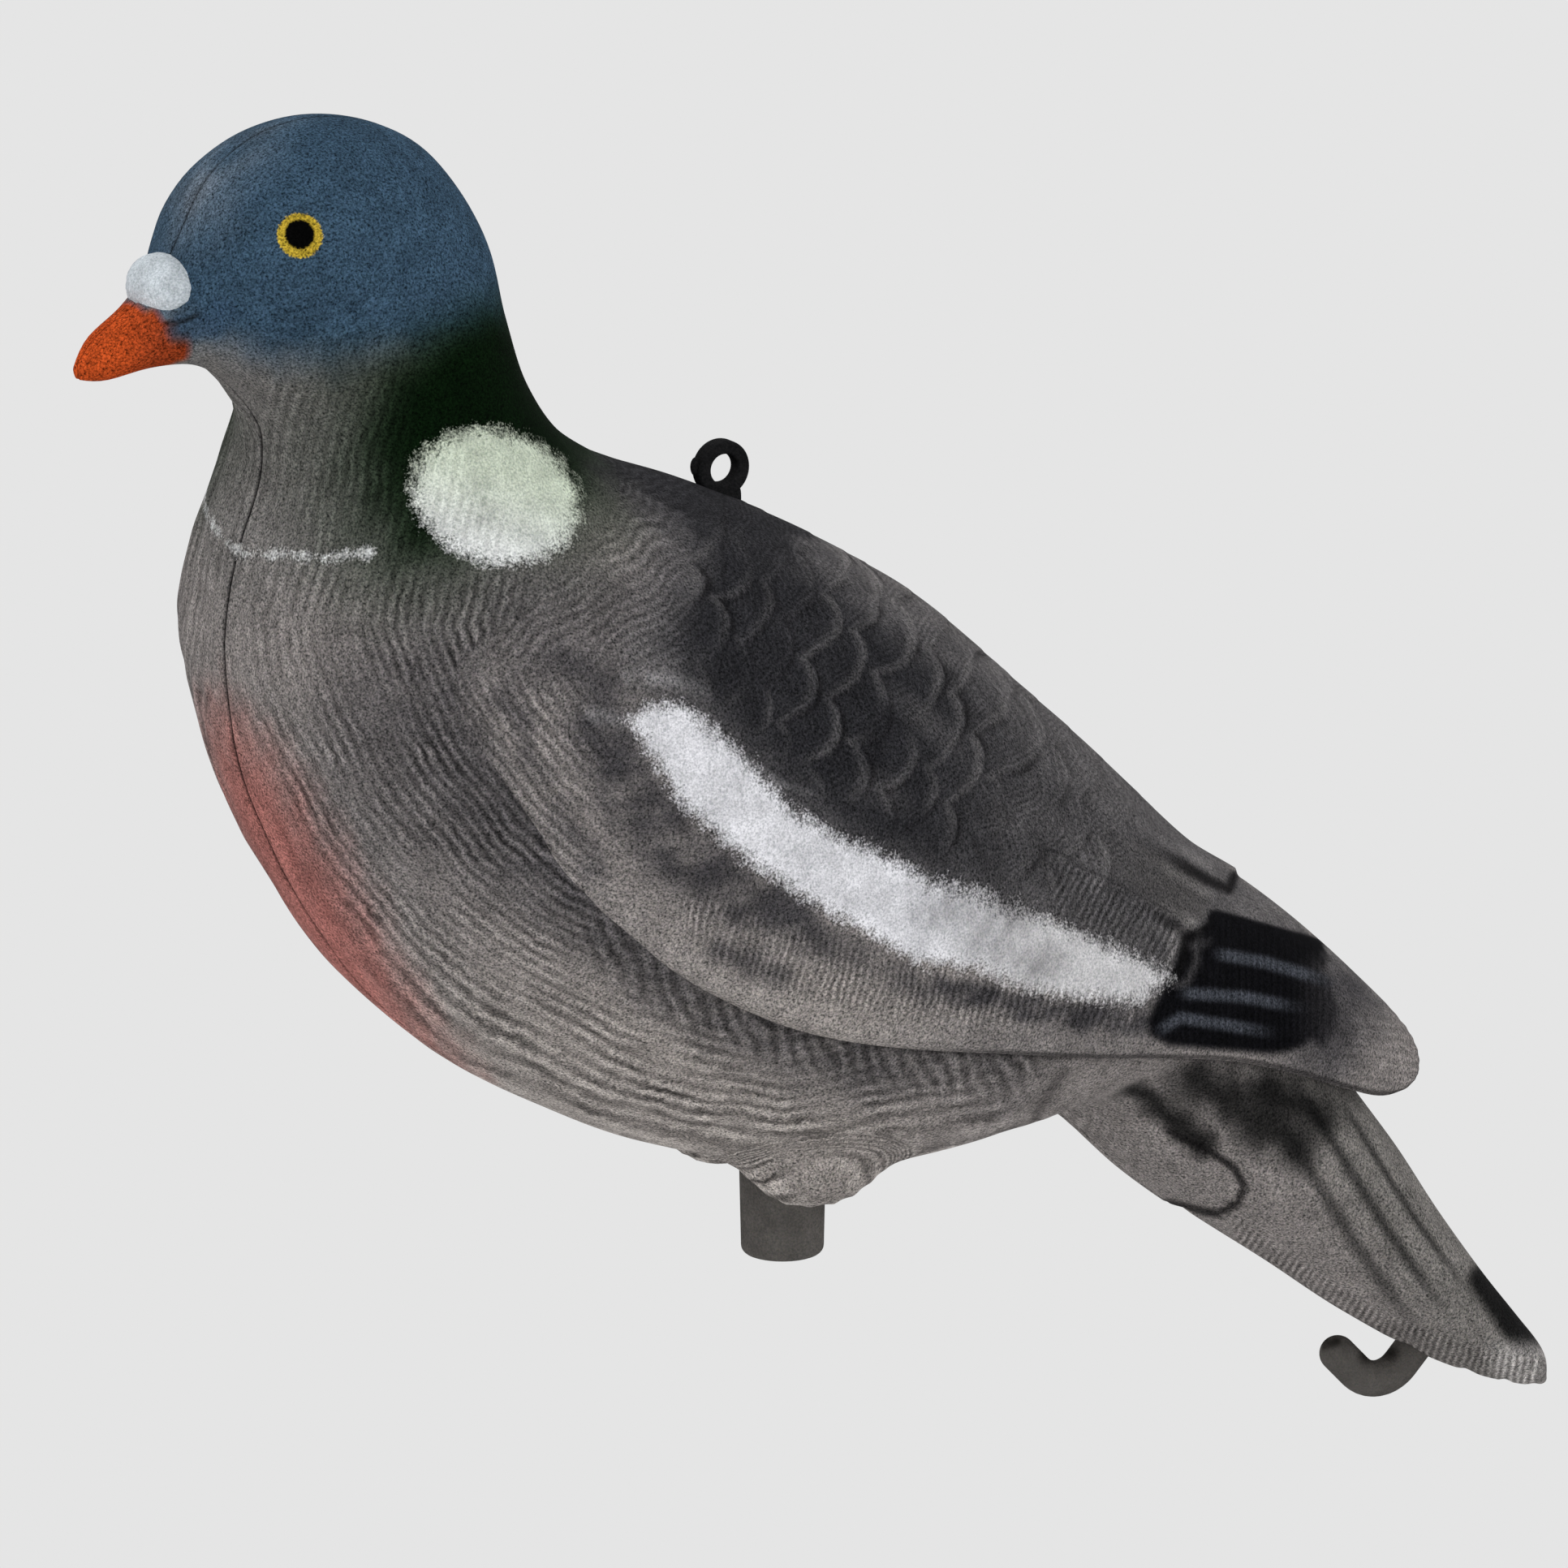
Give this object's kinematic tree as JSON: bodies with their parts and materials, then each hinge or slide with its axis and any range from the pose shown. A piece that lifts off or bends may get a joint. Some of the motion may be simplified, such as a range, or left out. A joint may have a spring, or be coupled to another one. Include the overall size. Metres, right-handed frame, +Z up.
{
  "type": "woodpigeon decoy",
  "caption": "Full-body flocked woodpigeon decoy of two hollow moulded halves, with a stake socket under the belly, a hanging eye on the back and a hook under the tail.",
  "frame": {"origin": "centre of the mouth of the stake socket", "axes": "+X from the breast towards the tail, +Y to the bird's right side, +Z up along the stake; the bill points towards -X"},
  "size_m": [0.3363, 0.1252, 0.2989],
  "materials": {
    "flocked_shell": "hollow moulded plastic with a flocked, sprayed coat",
    "flocked_socket": "dark grey flock",
    "flocked_eye": "black flock",
    "flocked_hook": "grey flock"
  },
  "bodies": {
    "root": {"left_body_shell": "flocked_shell", "right_body_shell": "flocked_shell", "stake_socket": "flocked_socket", "hanging_eye": "flocked_eye", "tail_hook": "flocked_hook"}
  },
  "joints": []
}
